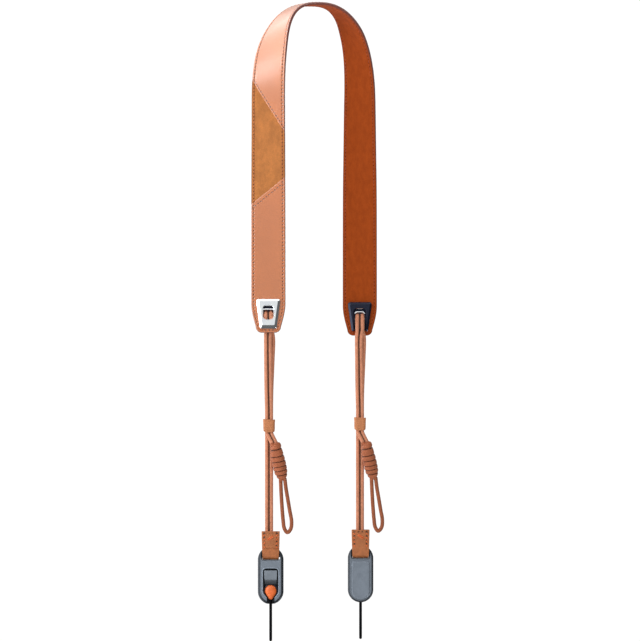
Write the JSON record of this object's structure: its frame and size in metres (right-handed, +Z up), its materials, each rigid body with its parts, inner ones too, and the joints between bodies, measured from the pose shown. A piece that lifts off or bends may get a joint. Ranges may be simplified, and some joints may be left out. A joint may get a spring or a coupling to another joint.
{
  "type": "camera neck strap",
  "caption": "Hanging camera neck strap: arched two-layer leather band, clamped end plates, adjusting cords with knots and pull loops, leather tabs and quick-release ends.",
  "frame": {"origin": "middle of the band's underside at the top of the arch, where it lies on the neck", "axes": "+Z up along the hanging strap, +X from the left leg to the right leg, +Y away from the viewer of the picture"},
  "size_m": [0.1163, 0.0619, 0.5578],
  "materials": {
    "tan_leather": "smooth full-grain leather, satin",
    "suede": "brushed suede, matt",
    "lining_leather": "napped lining leather, matt",
    "bright_plate": "satin plated metal with polished edges",
    "dark_plate": "dark blue-grey satin coating",
    "pin_steel": "plain steel",
    "cord": "smooth woven cord",
    "keeper_leather": "smooth leather",
    "tab_leather": "stitched leather",
    "housing": "matt moulded plastic",
    "tongue": "stippled moulded plastic",
    "knob": "matt orange plastic",
    "tether": "tight dark braid"
  },
  "bodies": {
    "strap": {"tan_leather_main": "tan_leather", "tan_leather_left_end": "tan_leather", "suede_panel": "suede", "lining": "lining_leather", "left_front_plate": "bright_plate", "right_front_plate": "bright_plate", "left_back_plate": "dark_plate", "right_back_plate": "dark_plate", "left_anchor_pin": "pin_steel", "right_anchor_pin": "pin_steel", "left_cord_a": "cord", "left_cord_b": "cord", "left_pull_loop": "cord", "left_sliding_knot": "cord", "right_cord_a": "cord", "right_cord_b": "cord", "right_pull_loop": "cord", "right_sliding_knot": "cord", "left_keeper": "keeper_leather", "right_keeper": "keeper_leather", "left_tab": "tab_leather", "right_tab": "tab_leather", "left_housing_back": "housing", "left_housing_cover": "housing", "right_housing_back": "housing", "right_housing_cover": "housing", "left_anchor_knob": "knob", "right_anchor_knob": "knob", "left_tether": "tether", "right_tether": "tether"},
    "left_tongue": {"left_release_tongue": "tongue"},
    "right_tongue": {"right_release_tongue": "tongue"}
  },
  "joints": [
    {"name": "left_release", "type": "hinge", "parent": "strap", "child": "left_tongue", "pos_m": [-0.038, -0.02286, -0.4932], "axis": [1, 0, 0], "range_deg": [0, 7], "stiffness_Nm_per_rad": 0.5},
    {"name": "right_release", "type": "hinge", "parent": "strap", "child": "right_tongue", "pos_m": [0.0406, 0.02221, -0.4932], "axis": [-1, 0, 0], "range_deg": [0, 7], "stiffness_Nm_per_rad": 0.5}
  ]
}
